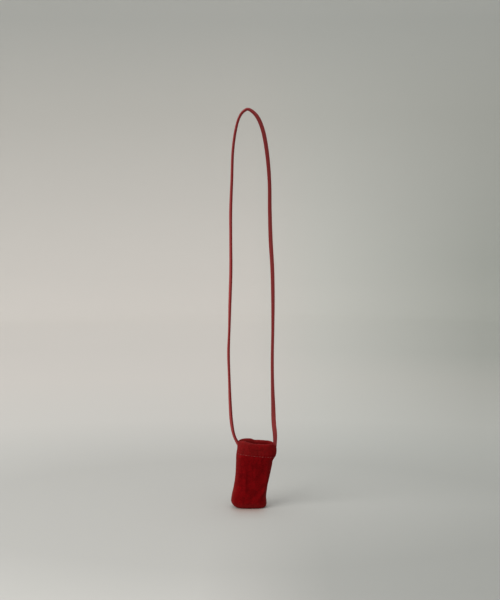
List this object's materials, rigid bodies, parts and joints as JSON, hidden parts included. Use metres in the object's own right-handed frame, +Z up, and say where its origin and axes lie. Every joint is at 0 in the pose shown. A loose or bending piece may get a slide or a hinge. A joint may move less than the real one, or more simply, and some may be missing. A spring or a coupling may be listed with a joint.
{
  "type": "kinchaku drawstring pouch",
  "caption": "Small soft suede kinchaku pouch with a turned-down casing round its mouth and a long flat lace that draws it shut and serves as shoulder strap.",
  "frame": {"origin": "underside of the strap at the top of its loop, where the pouch hangs", "axes": "+Z up along the hanging strap, +X to the right and -Y to the front as the picture sees it"},
  "size_m": [0.0845, 0.0362, 0.6895],
  "materials": {
    "suede": "dark wine red suede with a short matt nap",
    "lace": "flat leather lace, dusty red with a soft sheen",
    "thread": "twisted sewing thread, a little lighter than the suede"
  },
  "bodies": {
    "root": {"pouch_body": "suede", "drawstring_front": "lace", "drawstring_back": "lace", "casing_thread_front": "thread", "casing_thread_back": "thread", "side_thread_left": "thread", "side_thread_right": "thread", "shoulder_strap": "lace"}
  },
  "joints": []
}
